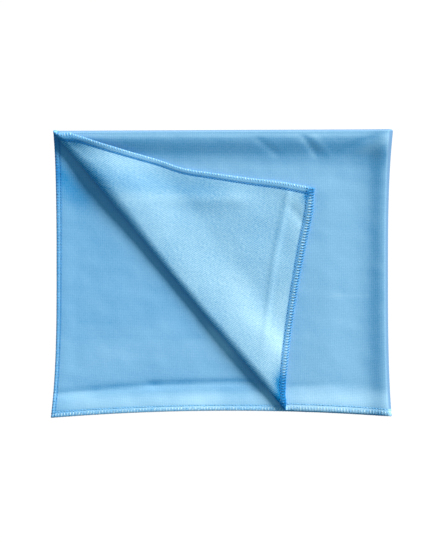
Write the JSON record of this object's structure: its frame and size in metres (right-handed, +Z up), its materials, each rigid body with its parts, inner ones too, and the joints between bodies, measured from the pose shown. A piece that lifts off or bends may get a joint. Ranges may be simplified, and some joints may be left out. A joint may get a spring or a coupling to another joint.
{
  "type": "folded microfibre cleaning cloth",
  "caption": "Light blue microfibre cloth folded in quarters, with the free corner of the top layer turned back along a slanting crease.",
  "frame": {"origin": "centre of the folded cloth's footprint, on the surface that it lies on", "axes": "+X along the pack's longer side, away from the crease; +Y along its shorter side, towards the first fold; +Z up"},
  "size_m": [0.3024, 0.2546, 0.013],
  "materials": {
    "microfibre": "light blue knitted microfibre, finely napped, with an overlocked edge in blue thread"
  },
  "bodies": {
    "root": {"cloth": "microfibre"}
  },
  "joints": []
}
